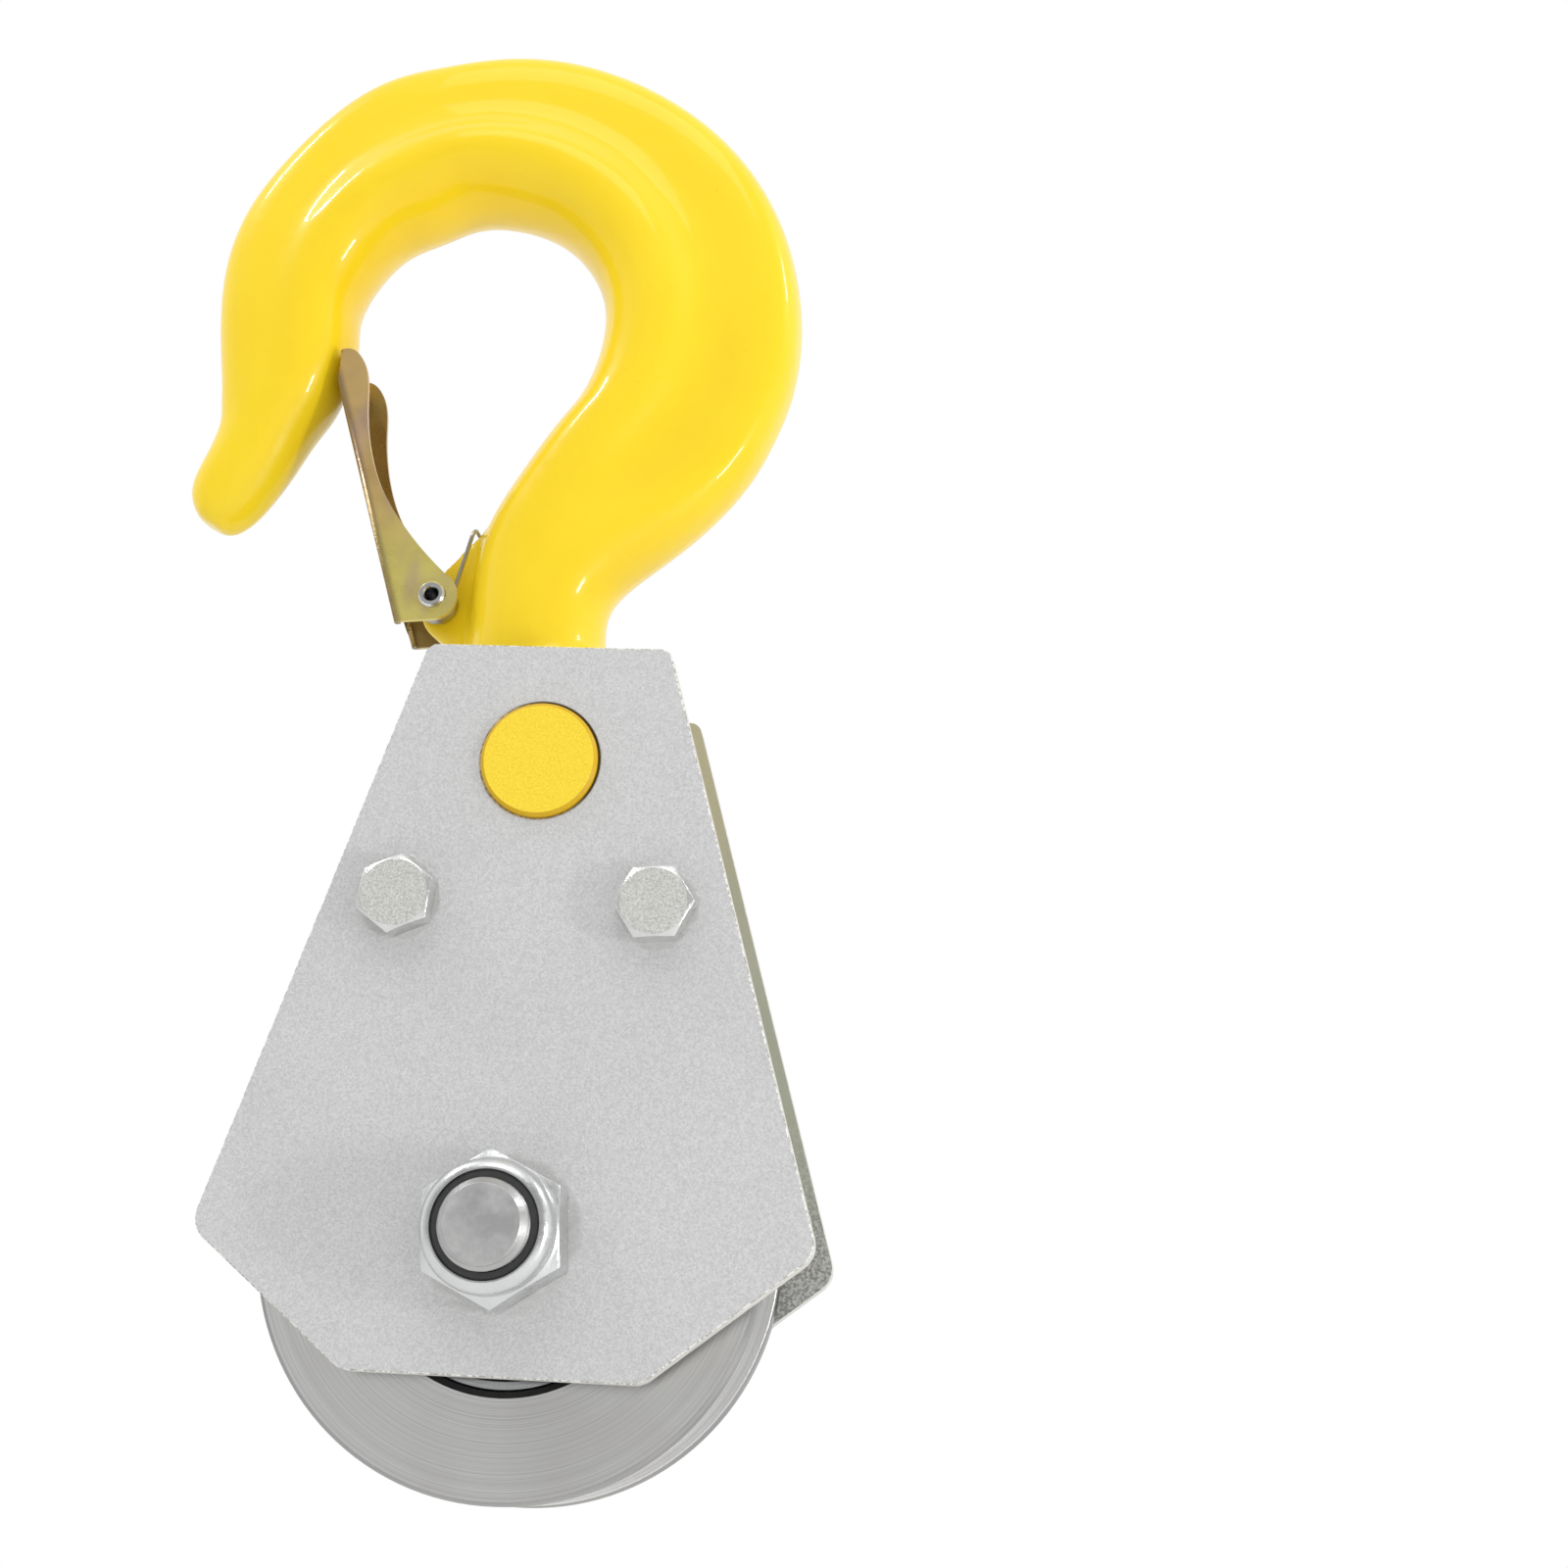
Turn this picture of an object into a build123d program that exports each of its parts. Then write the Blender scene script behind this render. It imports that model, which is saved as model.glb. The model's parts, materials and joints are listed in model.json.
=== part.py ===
from build123d import *
import os
from math import atan2, cos, degrees, radians, sin, sqrt

# Snatch block with a fixed-cheek body: one grooved sheave between two plates, a
# crosshead on trunnions and a swivelling safety hook. Millimetres, +Z up. The origin
# is the centre of the hook bowl; +X is to the right and -Y is the front. The block
# hangs straight down while the hook leans, as it stands when laid over.

# Hook
hook_lean = 14.3            # lean of the hook against the hanging cheeks, degrees
pivot_drop = 126.2          # bowl centre to the trunnion axis, along the shank
bowl_radius = 32.5
bulge_half = 18.4           # half thickness of the rounded inner side
web_half = 12.3             # half thickness of the flat outer side
nose_share = 0.28           # where the inner side is thickest, of the section's depth
neck_radius = 16.5
neck_top = -91.0            # along the shank, from the bowl centre
collar_radius = 18.2
collar_height = 10.5
stub_radius = 16.8
stub_height = 4.5           # turned stub seen between the collar and the crosshead
shank_radius = 12.0
shank_thread_radius = 11.0

# Depth of the crown, inner to outer edge, at angles round the bowl
crown = [(-10, 49.7), (13, 49.0), (36, 47.1), (61, 45.2), (88, 42.9), (115, 40.6),
         (137, 38.6), (158, 36.0), (175, 34.4)]

# Neck, from the shank to the crown, and tip, from the crown to its end: inner point and
# outer point, half thickness of the rounded side and of the web, form of the section
neck = [((-15.4, -78.2), (20.2, -79.8), 16.4, 16.0, 0.0),
        ((-11.6, -64.6), (29.2, -73.4), 16.7, 15.0, 0.2),
        ((-5.8, -52.9), (40.6, -67.9), 17.2, 14.0, 0.5),
        ((3.9, -42.1), (52.0, -61.0), 17.8, 13.0, 0.8),
        ((14.9, -31.6), (62.6, -51.8), 18.4, 12.3, 0.95),
        ((25.4, -20.9), (72.8, -37.8), 18.4, 12.3, 1.0)]
tip = [((-38.0, -8.6), (-67.8, -3.2), 14.6, 11.0, 0.35),
       ((-44.9, -16.6), (-68.8, -8.9), 12.9, 10.0, 0.2),
       ((-51.4, -24.2), (-71.1, -13.9), 11.4, 9.6, 0.1),
       ((-57.9, -31.4), (-74.8, -19.0), 10.0, 9.2, 0.0),
       ((-64.4, -36.9), (-78.6, -25.2), 8.4, 8.4, 0.0),
       ((-68.7, -38.8), (-79.0, -30.0), 6.9, 6.9, 0.0),
       ((-72.4, -38.8), (-77.6, -34.2), 3.9, 3.9, 0.0)]

# Latch, its lug on the hook, rivet and spring
lug_half = 3.0
lug_top = -53.4
rivet_u, rivet_w = -21.7, -71.3
rivet_radius = 2.5
rivet_bore = 1.7
latch_width = 21.8
latch_sheet = 1.3
latch_gap = 3.9             # the sheet's top end stands this far outside the bowl
latch_top = -9.0
latch_foot = 6.2            # radius of the latch cheeks round the rivet
wire_radius = 0.5
coil_radius = 4.6
coil_turns = 3

# Crosshead
block_half_width = 23.5     # along the trunnions
block_half_depth = 25.0
block_end_arc = 44.6
block_height = 30.0
trunnion_radius = 13.5
trunnion_reach = 35.5       # hook plane to either end
bore_fit = 0.06             # radial clearance of a turning fit
nut_recess = 3.0
shank_nut_across_flats = 34.0
shank_nut_height = 11.0
pin_radius = 2.0
pin_in_nut = 9.5            # below the nut's seat in the block
pin_height = nut_recess - block_height / 2 - pin_in_nut

# Cheek plates
cheek_thickness = 6.0
cheek_gap = 52.0
cheek_shift = -2.0          # the crosshead has slid towards the rear cheek
cheek_over_pivot = 27.6     # the plate's top edge, over the trunnions
cheek_top_half = 28.3
cheek_wide = -1.3           # heights and half widths, from the axle
cheek_wide_half = 69.4
cheek_foot = -30.6
cheek_foot_half = 32.8
cheek_top_corner = 3.0
cheek_wide_corner = 6.0
cheek_foot_corner = 6.0

# Spacer bars and cheek bolts, M10
bar_across_flats = 16.0
bar_spacing = 58.8
bar_height = 74.0           # from the axle
bar_to_pivot = 33.4         # keeps the bars clear of the shank nut and its pin
bar_roll = 10.0
pivot_to_axle = bar_height + bar_to_pivot
cheek_top = pivot_to_axle + cheek_over_pivot
bolt_radius = 5.0
bolt_length = 16.0
bolt_across_flats = 16.0
bolt_head = 6.4

# Axle, M20, and its locknuts
axle_radius = 10.0
axle_proud = 3.6            # stands out of each nut
nut_across_flats = 30.0
nut_height = 18.6
nut_hex_height = 12.6
nut_collar_radius = 14.6
nylon_radius = 11.8
nylon_depth = 3.6
thread_pitch = 2.5

# Sheave and its bearings
sheave_radius = 57.3
sheave_width = 42.0
groove_radius = 13.8
rim_chamfer = 0.9
recess_radius = 34.5
recess_depth = 3.0
bearing_outer = 31.0
bearing_bore = 15.0
bearing_width = 14.0
ball_radius = 4.76
ball_count = 9
race_ring = 4.0             # outer ring wall and inner ring wall at the shoulders
cover_radius = 33.1
bush_radius = 18.7

os.makedirs("parts", exist_ok=True)


def finish(part, label):
    part.label = label
    export_step(part, f"parts/{label}.step")


# Planes. u runs across the hook, w up its shank; both lie in the leaning hook plane.
lean = radians(hook_lean)
u_axis = Vector(cos(lean), 0, sin(lean))
w_axis = Vector(-sin(lean), 0, cos(lean))
hook_plane = Plane(origin=(0, 0, 0), x_dir=u_axis, z_dir=(0, -1, 0))
pivot = w_axis * -pivot_drop
shank_plane = Plane(origin=pivot, x_dir=u_axis, z_dir=w_axis)
axle = Vector(pivot.X, cheek_shift, pivot.Z - pivot_to_axle)


def cheek_plane(y):
    """Plane facing the front, y behind the middle of the block, centred on the axle."""
    return Plane(origin=(axle.X, axle.Y + y, axle.Z), x_dir=(1, 0, 0), z_dir=(0, -1, 0))


# Half planes for turned pieces: x is the radius, y runs along the axis.
axle_turning = Plane(origin=axle, x_dir=(1, 0, 0), z_dir=(0, 0, -1))
axle_line = Axis(origin=tuple(axle), direction=(0, 1, 0))
shank_turning = Plane(origin=pivot, x_dir=u_axis, z_dir=(0, -1, 0))
shank_line = Axis(origin=tuple(pivot), direction=tuple(w_axis))


def turned(name, corners, plane=axle_turning, line=axle_line):
    """A ring or pin turned from a closed profile."""
    with BuildPart() as ring:
        with BuildSketch(plane):
            with BuildLine():
                Polyline(corners, close=True)
            make_face()
        revolve(axis=line)
    finish(ring.part, name)
    return ring.part


# Hook
def section_half(depth, bulge, web, form):
    """Half outline from the outer edge to the inner one; form blends an oval (0)
    into the forged profile (1) with its rounded inner side and flat web."""
    nose = nose_share * depth
    forged = [(depth, 0), (depth - 0.7, 0.42 * web), (depth - 3.2, 0.76 * web),
              (depth - 8.0, 0.92 * web), (2.1 * nose, web),
              (1.75 * nose, 0.45 * web + 0.45 * bulge), (1.4 * nose, 0.93 * bulge),
              (nose, bulge), (0.45 * nose, 0.835 * bulge), (0.12 * nose, 0.475 * bulge),
              (0, 0)]
    outline = []
    for step, (x, y) in enumerate(forged):
        turn = radians(18 * step)
        oval_x, oval_y = depth / 2 * (1 + cos(turn)), bulge * sin(turn)
        outline.append((form * x + (1 - form) * oval_x - depth / 2,
                        form * y + (1 - form) * oval_y))
    return outline


def bowl_point(angle, radius):
    return (radius * cos(radians(angle)), radius * sin(radians(angle)))


stations = list(neck)
for angle, depth in crown:
    fade = max(0.0, (angle - 100) / 80)
    stations.append((bowl_point(angle, bowl_radius),
                     bowl_point(angle, bowl_radius + depth),
                     bulge_half - 2.6 * fade, web_half - 0.8 * fade, 1 - 0.55 * fade))
stations += tip

with BuildPart() as hook:
    with BuildSketch(shank_plane.offset(pivot_drop + neck_top)):
        Circle(neck_radius)
    for inner, outer, bulge, web, form in stations:
        across = Vector(outer[0] - inner[0], outer[1] - inner[1])
        depth = across.length
        middle = ((inner[0] + outer[0]) / 2, (inner[1] + outer[1]) / 2)
        radial = u_axis * (across.X / depth) + w_axis * (across.Y / depth)
        along = w_axis * (across.X / depth) - u_axis * (across.Y / depth)
        half = section_half(depth, bulge, web, form)
        other = [(x, -y) for x, y in reversed(half[1:-1])]
        with BuildSketch(Plane(origin=u_axis * middle[0] + w_axis * middle[1],
                               x_dir=radial, z_dir=along)):
            with BuildLine():
                Spline(*half, *other, periodic=True)
            make_face()
    loft()
    # lug for the latch rivet
    with BuildSketch(hook_plane):
        with BuildLine():
            Polyline((-6.4, lug_top), (rivet_u - 5.8, rivet_w + 2.6),
                     (rivet_u - 4.2, rivet_w - 5.0), (-12.0, neck_top - 3),
                     (0, neck_top - 3), (0, lug_top), close=True)
        make_face()
        fillet([v for v in vertices() if v.X < rivet_u], 3.4)
    extrude(amount=lug_half, both=True)
    # turned neck, collar, stub and shank
    with BuildSketch(shank_turning):
        collar_foot = block_height / 2 + stub_height
        collar_head = collar_foot + collar_height
        shank_end = -block_height / 2 - 17
        with BuildLine():
            Polyline((0, pivot_drop + neck_top), (neck_radius, pivot_drop + neck_top),
                     (neck_radius, collar_head + 4), (collar_radius, collar_head),
                     (collar_radius, collar_foot + 1.2), (collar_radius - 1.2, collar_foot),
                     (stub_radius, collar_foot), (stub_radius, block_height / 2 - 6),
                     (shank_radius, block_height / 2 - 6), (shank_radius, -block_height / 2),
                     (shank_thread_radius, -block_height / 2),
                     (shank_thread_radius, shank_end + 1.5), (shank_thread_radius - 1.5, shank_end),
                     (0, shank_end), close=True)
        make_face()
    revolve(axis=shank_line)
    with Locations(hook_plane.location * Location((rivet_u, rivet_w, 0))):
        Cylinder(rivet_radius + 0.02, 4 * lug_half, mode=Mode.SUBTRACT)
    with Locations(shank_plane.location * Location((0, 0, pin_height), (0, 90, 0))):
        Cylinder(pin_radius, 4 * shank_radius, mode=Mode.SUBTRACT)
finish(hook.part, "hook")


# Latch
spine_top = (-bowl_radius - latch_gap, latch_top)
spine_foot = (rivet_u - 10.4, rivet_w - 4.6)
with BuildPart() as latch:
    with BuildSketch(hook_plane) as cheek:
        with BuildLine():
            head = Polyline(spine_foot, spine_top, (spine_top[0] + 2.4, spine_top[1] + 7.6))
            lobe = Spline(head @ 1, *[(spine_top[0] + u, spine_top[1] + w) for u, w in
                                      [(5.6, 6.8), (7.6, 3.2), (8.0, -1.0), (6.8, -8.6)]],
                          *[(rivet_u + u, rivet_w + w) for u, w in
                            [(-8.9, 38.0), (-8.0, 31.0), (-5.6, 23.4), (-0.8, 12.8),
                             (4.2, latch_foot - 1.7)]])
            foot = CenterArc((rivet_u, rivet_w), latch_foot,
                             degrees(atan2(latch_foot - 1.7, 4.2)), -143)
            Line(lobe @ 1, foot @ 0)
            Line(foot @ 1, spine_foot)
        make_face()
    extrude(amount=latch_width / 2, both=True)
    # the sheet's folded channel, open towards the bowl
    along_spine = Vector(spine_top[0] - spine_foot[0], spine_top[1] - spine_foot[1]).normalized()
    with BuildSketch(hook_plane):
        with BuildLine():
            low = Vector(*spine_foot) - along_spine * 10
            high = Vector(*spine_top) + along_spine * 10
            side = Vector(along_spine.Y, -along_spine.X)
            Polyline(low + side * latch_sheet, high + side * latch_sheet,
                     high + side * 40, low + side * 40, close=True)
        make_face()
    extrude(amount=latch_width / 2 - latch_sheet, both=True, mode=Mode.SUBTRACT)
    # arch in the foot of the spine, and the rivet holes
    with BuildSketch(Plane(origin=hook_plane.from_local_coords((*spine_foot, 0)),
                           x_dir=(0, 1, 0), z_dir=u_axis)):
        Circle(latch_width / 2 - 2.4)
    extrude(amount=latch_sheet + 1.6, both=True, mode=Mode.SUBTRACT)
    with Locations(hook_plane.location * Location((rivet_u, rivet_w, 0))):
        Cylinder(rivet_radius + bore_fit, 2 * latch_width, mode=Mode.SUBTRACT)
finish(latch.part, "latch")

rivet_plane = Plane(origin=hook_plane.from_local_coords((rivet_u, rivet_w, 0)),
                    x_dir=(0, 1, 0), z_dir=w_axis)
rivet_line = Axis(origin=tuple(rivet_plane.origin), direction=(0, 1, 0))
rivet_seat = latch_width / 2 + 0.15
with BuildPart() as rivet:
    with BuildSketch(rivet_plane):
        with BuildLine():
            Polyline((-rivet_seat, rivet_radius), (-rivet_seat, 3.2),
                     (-rivet_seat - 0.5, 3.3), (-rivet_seat - 1.0, 2.8),
                     (-rivet_seat - 1.0, rivet_bore + 0.3), (-rivet_seat - 0.6, rivet_bore),
                     (rivet_seat - 3, rivet_bore), (rivet_seat - 3, 0),
                     (rivet_seat + 2.2, 0))
            ThreePointArc((rivet_seat + 2.2, 0), (rivet_seat + 1.6, 2.9),
                          (rivet_seat, 4.9))
            Polyline((rivet_seat, 4.9), (rivet_seat, rivet_radius),
                     (-rivet_seat, rivet_radius))
        make_face()
    revolve(axis=rivet_line)
finish(rivet.part, "latch_rivet")

# Spring: a coil either side of the lug and a bail that leans on the hook's throat
coil_step = 2 * wire_radius - 0.06
coil_start = lug_half + 0.3 + wire_radius
bail_reach = coil_start + coil_step * (coil_turns - 1)
with BuildPart() as spring:
    for side in (1, -1):
        for turn in range(coil_turns):
            with Locations(hook_plane.location
                           * Location((rivet_u, rivet_w, side * (coil_start + turn * coil_step)))):
                Torus(coil_radius, wire_radius)
    bail_foot = (rivet_u + coil_radius, rivet_w + 1.5)
    bail_top = (rivet_u + 12.5, rivet_w + 17.0)
    with BuildLine():
        bail = FilletPolyline(
            *[hook_plane.from_local_coords((u, w, y)) for u, w, y in
              [(*bail_foot, bail_reach), (*bail_top, bail_reach), (*bail_top, -bail_reach),
               (*bail_foot, -bail_reach)]], radius=2.6)
    with BuildSketch(Plane(origin=bail @ 0, z_dir=bail % 0)):
        Circle(wire_radius)
    sweep(path=bail)
finish(spring.part, "latch_spring")

# Crosshead and the hook's nut
with BuildPart() as crosshead:
    with BuildSketch(shank_plane.offset(-block_height / 2)):
        corner = block_half_depth - block_end_arc + sqrt(block_end_arc ** 2
                                                         - block_half_width ** 2)
        with BuildLine():
            for side in (1, -1):
                ThreePointArc((side * corner, -side * block_half_width),
                              (side * block_half_depth, 0),
                              (side * corner, side * block_half_width))
                Line((side * corner, side * block_half_width),
                     (-side * corner, side * block_half_width))
        make_face()
    extrude(amount=block_height)
    fillet(edges().filter_by(shank_line), 2.5)
    chamfer(faces().filter_by(shank_line).edges(), 1.0)
    with BuildSketch(Plane(origin=pivot, x_dir=u_axis, z_dir=(0, -1, 0))):
        Circle(trunnion_radius)
    extrude(amount=trunnion_reach, both=True)
    chamfer(edges().filter_by(GeomType.CIRCLE).filter_by(
        lambda e: abs(abs(e.center().Y) - trunnion_reach) < 0.01), 0.8)
    with Locations(shank_plane.location):
        Cylinder(shank_radius + bore_fit, 2 * block_height, mode=Mode.SUBTRACT)
    with Locations(shank_plane.location * Location((0, 0, block_height / 2))):
        Cylinder(stub_radius + 0.3, 2 * (6 + 0.3), mode=Mode.SUBTRACT)
    with Locations(shank_plane.location * Location((0, 0, -block_height / 2))):
        Cylinder(20.0 + 0.3, 2 * nut_recess, mode=Mode.SUBTRACT)
finish(crosshead.part, "crosshead")

turned("thrust_washer",
       [(shank_radius + 0.3, -block_height / 2 + nut_recess - 0.05),
        (20.0, -block_height / 2 + nut_recess - 0.05),
        (20.0, -block_height / 2 - 0.9), (shank_radius + 0.3, -block_height / 2 - 0.9)],
       shank_turning, shank_line)

with BuildPart() as shank_nut:
    with BuildSketch(shank_plane.offset(-block_height / 2 - 0.9)):
        RegularPolygon(shank_nut_across_flats / 2, 6, major_radius=False)
        Circle(shank_thread_radius, mode=Mode.SUBTRACT)
    extrude(amount=-shank_nut_height)
    with Locations(shank_plane.location * Location((0, 0, pin_height), (0, 90, 0))):
        Cylinder(pin_radius, 2 * shank_nut_across_flats, mode=Mode.SUBTRACT)
finish(shank_nut.part, "shank_nut")

with BuildPart() as lock_pin:
    with Locations(shank_plane.location * Location((0, 0, pin_height), (0, 90, 0))):
        Cylinder(pin_radius, shank_nut_across_flats)
    chamfer(edges().filter_by(GeomType.CIRCLE), 0.5)
finish(lock_pin.part, "shank_nut_pin")

# Cheek plates
bolt_spots = [(-bar_spacing / 2, bar_height), (bar_spacing / 2, bar_height)]
inner_face = cheek_gap / 2
outer_face = inner_face + cheek_thickness


def cheek(side):
    """A plate on one side of the block: -1 in front, 1 behind."""
    with BuildPart() as plate:
        with BuildSketch(cheek_plane(side * inner_face)):
            with BuildLine():
                Polyline((cheek_top_half, cheek_top), (cheek_wide_half, cheek_wide),
                         (cheek_foot_half, cheek_foot), (-cheek_foot_half, cheek_foot),
                         (-cheek_wide_half, cheek_wide), (-cheek_top_half, cheek_top),
                         close=True)
            make_face()
            fillet(vertices().group_by(Axis.Y)[-1], cheek_top_corner)
            fillet(vertices().group_by(Axis.Y)[0], cheek_foot_corner)
            fillet(vertices().sort_by(Axis.X)[0], cheek_wide_corner)
            fillet(vertices().sort_by(Axis.X)[-1], cheek_wide_corner)
            Circle(axle_radius + 0.1, mode=Mode.SUBTRACT)
            with Locations((0, pivot_to_axle)):
                Circle(trunnion_radius + bore_fit, mode=Mode.SUBTRACT)
            with Locations(*bolt_spots):
                Circle(bolt_radius + 0.2, mode=Mode.SUBTRACT)
        extrude(amount=-side * cheek_thickness)
        outer = plate.faces().filter_by(GeomType.PLANE).sort_by(Axis.Y)[-1 if side > 0 else 0]
        chamfer(outer.edges().filter_by(GeomType.CIRCLE).filter_by(
            lambda e: abs(e.radius - trunnion_radius - bore_fit) < 0.01), 0.5)
        chamfer(outer.outer_wire().edges(), 0.3)
    return plate.part


finish(cheek(-1), "front_cheek")
finish(cheek(1), "rear_cheek")

# Spacer bars and cheek bolts
for name, x in (("left", -bar_spacing / 2), ("right", bar_spacing / 2)):
    with BuildPart() as bar:
        with BuildSketch(cheek_plane(-inner_face)):
            with Locations((x, bar_height)):
                RegularPolygon(bar_across_flats / 2, 6, major_radius=False,
                               rotation=30 + bar_roll)
        extrude(amount=-cheek_gap)
        with BuildSketch(cheek_plane(0)):
            with Locations((x, bar_height)):
                Circle(bolt_radius)
        extrude(amount=cheek_gap, both=True, mode=Mode.SUBTRACT)
        with BuildSketch(Plane(origin=(axle.X + x, axle.Y, axle.Z + bar_height),
                               x_dir=(1, 0, 0), z_dir=(0, 0, -1))):
            round_off = bar_across_flats / sqrt(3) + 0.2
            with BuildLine():
                Polyline((bolt_radius, -inner_face), (bar_across_flats / 2, -inner_face),
                         (round_off, -inner_face + 1.4), (round_off, inner_face - 1.4),
                         (bar_across_flats / 2, inner_face), (bolt_radius, inner_face),
                         close=True)
            make_face()
        revolve(axis=Axis(origin=(axle.X + x, axle.Y, axle.Z + bar_height),
                          direction=(0, 1, 0)), mode=Mode.INTERSECT)
    finish(bar.part, f"{name}_spacer_bar")


def hexagon_head(plane, across_flats, height, roll):
    """Six-sided head on a plane, its outer corners turned off at 30 degrees."""
    reach = across_flats / sqrt(3)
    drop = (reach - 0.475 * across_flats) / sqrt(3)
    with BuildPart() as head:
        with BuildSketch(plane):
            RegularPolygon(across_flats / 2, 6, major_radius=False, rotation=roll)
        extrude(amount=height)
        with BuildSketch(Plane(origin=plane.origin, x_dir=plane.x_dir, z_dir=-plane.y_dir)):
            with BuildLine():
                Polyline((0, 0), (reach + 0.1, 0), (reach + 0.1, height - drop - 0.06),
                         (0.475 * across_flats, height), (0, height), close=True)
            make_face()
        revolve(axis=Axis(origin=tuple(plane.origin), direction=tuple(plane.z_dir)),
                mode=Mode.INTERSECT)
    return head.part


bolt_rolls = {"front_bolt_left": 24, "front_bolt_right": 4, "rear_bolt_left": 14,
              "rear_bolt_right": 2}
for name, roll in bolt_rolls.items():
    side = -1 if name.startswith("front") else 1
    x = -bar_spacing / 2 if name.endswith("left") else bar_spacing / 2
    face = Plane(origin=(axle.X + x, axle.Y + side * outer_face, axle.Z + bar_height),
                 x_dir=(1, 0, 0), z_dir=(0, side, 0))
    with BuildPart() as bolt:
        add(hexagon_head(face, bolt_across_flats, bolt_head, roll))
        with BuildSketch(face):
            Circle(bolt_radius)
        extrude(amount=-bolt_length)
        chamfer(bolt.faces().filter_by(Axis.Y).sort_by(Axis.Y)[0 if side > 0 else -1].edges(), 0.8)
    finish(bolt.part, name)

# Axle, sleeves and locknuts
axle_end = outer_face + nut_height + axle_proud
thread = [(axle_radius - 1.2, axle_end), (axle_radius, axle_end - 1.2)]
for turn in range(2):
    crest = axle_end - 1.6 - turn * thread_pitch
    thread += [(axle_radius, crest), (axle_radius - 1.1, crest - 0.7), (axle_radius, crest - 1.4)]
turned("axle", [(0, axle_end)] + thread + [(r, -y) for r, y in reversed(thread)]
       + [(0, -axle_end)])

turned("axle_sleeve", [(axle_radius + 0.1, -inner_face), (bearing_bore, -inner_face),
                       (bearing_bore, inner_face), (axle_radius + 0.1, inner_face)])

bearing_face = sheave_width / 2 - recess_depth
for name, side, roll in (("front", -1, 34), ("rear", 1, 7)):
    turned(f"{name}_spacer_bush",
           [(bearing_bore, side * bearing_face), (bush_radius - 0.5, side * bearing_face),
            (bush_radius, side * (bearing_face + 0.5)), (bush_radius, side * inner_face),
            (bearing_bore, side * inner_face)])
    face = Plane(origin=(axle.X, axle.Y + side * outer_face, axle.Z), x_dir=(1, 0, 0),
                 z_dir=(0, side, 0))
    lip = nut_height - nut_hex_height
    with BuildPart() as nut:
        add(hexagon_head(face, nut_across_flats, nut_hex_height, roll))
        # domed collar rolled over the nylon ring
        with BuildSketch(Plane(origin=face.origin, x_dir=face.x_dir, z_dir=-face.y_dir)):
            with BuildLine():
                Polyline((0, nut_hex_height - 1), (nut_collar_radius, nut_hex_height - 1),
                         (nut_collar_radius, nut_hex_height + 0.45 * lip))
                TangentArc((nut_collar_radius, nut_hex_height + 0.45 * lip),
                           (nut_collar_radius - 2.4, nut_height), tangent=(0, 1))
                Polyline((nut_collar_radius - 2.4, nut_height), (0, nut_height),
                         (0, nut_hex_height - 1))
            make_face()
        revolve(axis=axle_line)
        with Locations(face.location):
            Cylinder(axle_radius, 3 * nut_height, mode=Mode.SUBTRACT)
        with Locations(face.location * Location((0, 0, nut_height))):
            Cylinder(nylon_radius, 2 * nylon_depth, mode=Mode.SUBTRACT)
    finish(nut.part, f"{name}_axle_nut")
    turned(f"{name}_nylon_ring",
           [(axle_radius, side * (outer_face + nut_height - nylon_depth)),
            (nylon_radius, side * (outer_face + nut_height - nylon_depth)),
            (nylon_radius, side * (outer_face + nut_height - 0.9)),
            (nylon_radius - 0.5, side * (outer_face + nut_height - 0.5)),
            (axle_radius, side * (outer_face + nut_height - 0.5))])

# Sheave
half_width = sheave_width / 2
with BuildPart() as sheave:
    with BuildSketch(axle_turning):
        with BuildLine():
            ThreePointArc((sheave_radius, -groove_radius), (sheave_radius - groove_radius, 0),
                          (sheave_radius, groove_radius))
            Polyline((sheave_radius, groove_radius), (sheave_radius, half_width - rim_chamfer),
                     (sheave_radius - rim_chamfer, half_width), (recess_radius, half_width),
                     (recess_radius, bearing_face), (bearing_outer, bearing_face),
                     (bearing_outer, bearing_face - bearing_width),
                     (bearing_outer - 3, bearing_face - bearing_width),
                     (bearing_outer - 3, bearing_width - bearing_face),
                     (bearing_outer, bearing_width - bearing_face),
                     (bearing_outer, -bearing_face), (recess_radius, -bearing_face),
                     (recess_radius, -half_width), (sheave_radius - rim_chamfer, -half_width),
                     (sheave_radius, rim_chamfer - half_width), (sheave_radius, -groove_radius))
        make_face()
        fillet([v for v in vertices() if abs(abs(v.X) - groove_radius) < 0.01
                or abs(abs(v.Y) - groove_radius) < 0.01], 0.8)
    revolve(axis=axle_line)
finish(sheave.part, "sheave")

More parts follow.
